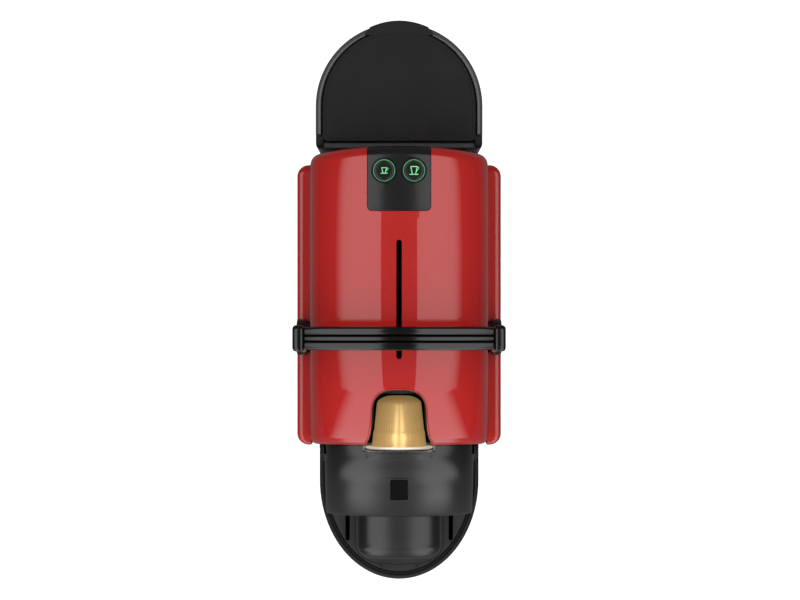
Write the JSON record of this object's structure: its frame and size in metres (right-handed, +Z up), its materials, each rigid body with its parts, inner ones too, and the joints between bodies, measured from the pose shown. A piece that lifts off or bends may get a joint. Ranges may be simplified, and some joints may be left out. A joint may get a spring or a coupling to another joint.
{
  "type": "pod coffee machine",
  "caption": "Slim capsule coffee machine with a raised wrap-over lever, rear water tank, twin cup buttons and a fold-up cup support.",
  "frame": {"origin": "on the table under the middle of the machine's box", "axes": "+Y towards the water tank at the rear, +Z up, the cup side faces -Y"},
  "size_m": [0.113, 0.3194, 0.2545],
  "materials": {
    "red_shell": "glossy moulded red plastic",
    "black_plastic": "fine satin black plastic",
    "satin_cover": "satin dark grey plastic",
    "lever_black": "satin black plastic",
    "lid_black": "matte black plastic",
    "smoked_tank": "smoked glossy plastic",
    "rubber": "matte rubber",
    "silicone": "translucent silicone hose",
    "steel": "brushed",
    "capsule_gold": "gold anodised, brushed",
    "capsule_foil": "satin foil",
    "button_light": "translucent green, lit",
    "white_plastic": "natural nylon",
    "circuit_board": "solder-resist green",
    "copper_coil": "lacquered winding",
    "cast_aluminium": "as cast"
  },
  "bodies": {
    "root": {"top_shell": "red_shell", "side_panel_left": "red_shell", "side_panel_right": "red_shell", "base_plate": "black_plastic", "chassis": "black_plastic", "rear_cover": "black_plastic", "front_frame": "black_plastic", "slot_liner": "black_plastic", "coffee_collector": "black_plastic", "badge": "black_plastic", "tank_connector": "black_plastic", "control_panel": "satin_cover", "head_cover": "satin_cover", "coffee_outlet": "satin_cover", "foot_front_left": "rubber", "foot_front_right": "rubber", "foot_rear_left": "rubber", "foot_rear_right": "rubber", "cord_gland": "rubber", "pump_mount_front": "rubber", "pump_mount_rear": "rubber", "inner_mains_lead": "rubber", "hose_tank_to_meter": "silicone", "hose_meter_to_pump": "silicone", "hose_pump_to_heater": "silicone", "base_screw_1": "steel", "base_screw_2": "steel", "base_screw_3": "steel", "base_screw_4": "steel", "extraction_plate": "steel", "light_ring_small_cup": "button_light", "light_ring_large_cup": "button_light", "axle_bush_left": "white_plastic", "axle_bush_right": "white_plastic", "brew_frame": "white_plastic", "pump_body": "white_plastic", "flow_meter": "white_plastic", "key_board": "circuit_board", "control_board": "circuit_board", "pump_coil": "copper_coil", "thermoblock": "cast_aluminium"},
    "lever": {"lever": "lever_black", "lever_grip": "lever_black", "lever_axle_left": "steel", "lever_axle_right": "steel"},
    "brew_cage": {"brew_cage": "satin_cover", "cage_seal": "rubber", "piercing_plate": "steel"},
    "capsule": {"capsule_cup": "capsule_gold", "capsule_foil": "capsule_foil"},
    "button_small_cup": {"button_small_cup": "black_plastic"},
    "button_large_cup": {"button_large_cup": "black_plastic"},
    "water_tank": {"water_tank": "smoked_tank", "tank_valve": "white_plastic"},
    "tank_lid": {"tank_lid": "lid_black"},
    "drip_tray": {"drip_tray": "black_plastic", "capsule_bin": "black_plastic", "support_hinge_pin": "steel"},
    "cup_support": {"cup_support": "black_plastic"}
  },
  "joints": [
    {"name": "lever_swing", "type": "hinge", "parent": "root", "child": "lever", "pos_m": [0, -0.0152, 0.176], "axis": [-1, 0, 0], "range_deg": [-72, 0]},
    {"name": "cage_slide", "type": "slide", "parent": "root", "child": "brew_cage", "axis": [0, 1, 0], "range_m": [-0.0283, 0]},
    {"name": "capsule_lift", "type": "slide", "parent": "root", "child": "capsule", "axis": [0, 0, 1], "range_m": [0, 0.07]},
    {"name": "press_small_cup", "type": "slide", "parent": "root", "child": "button_small_cup", "axis": [0, 0, 1], "range_m": [-0.0015, 0], "stiffness_N_per_m": 400, "springref_m": 0.0005},
    {"name": "press_large_cup", "type": "slide", "parent": "root", "child": "button_large_cup", "axis": [0, 0, 1], "range_m": [-0.0015, 0], "stiffness_N_per_m": 400, "springref_m": 0.0005},
    {"name": "tank_lift", "type": "slide", "parent": "root", "child": "water_tank", "axis": [0, 0, 1], "range_m": [0, 0.14]},
    {"name": "lid_hinge", "type": "hinge", "parent": "water_tank", "child": "tank_lid", "pos_m": [0, 0.0922, 0.1627], "axis": [1, 0, 0], "range_deg": [0, 75]},
    {"name": "tray_slide", "type": "slide", "parent": "root", "child": "drip_tray", "axis": [0, -1, 0], "range_m": [0, 0.13]},
    {"name": "support_flip", "type": "hinge", "parent": "drip_tray", "child": "cup_support", "pos_m": [0, -0.0916, 0.0372], "axis": [-1, 0, 0], "range_deg": [0, 78]}
  ],
  "couplings": [
    {"joint": "cage_slide", "follows": "lever_swing", "m_per_rad": 0.0225}
  ]
}
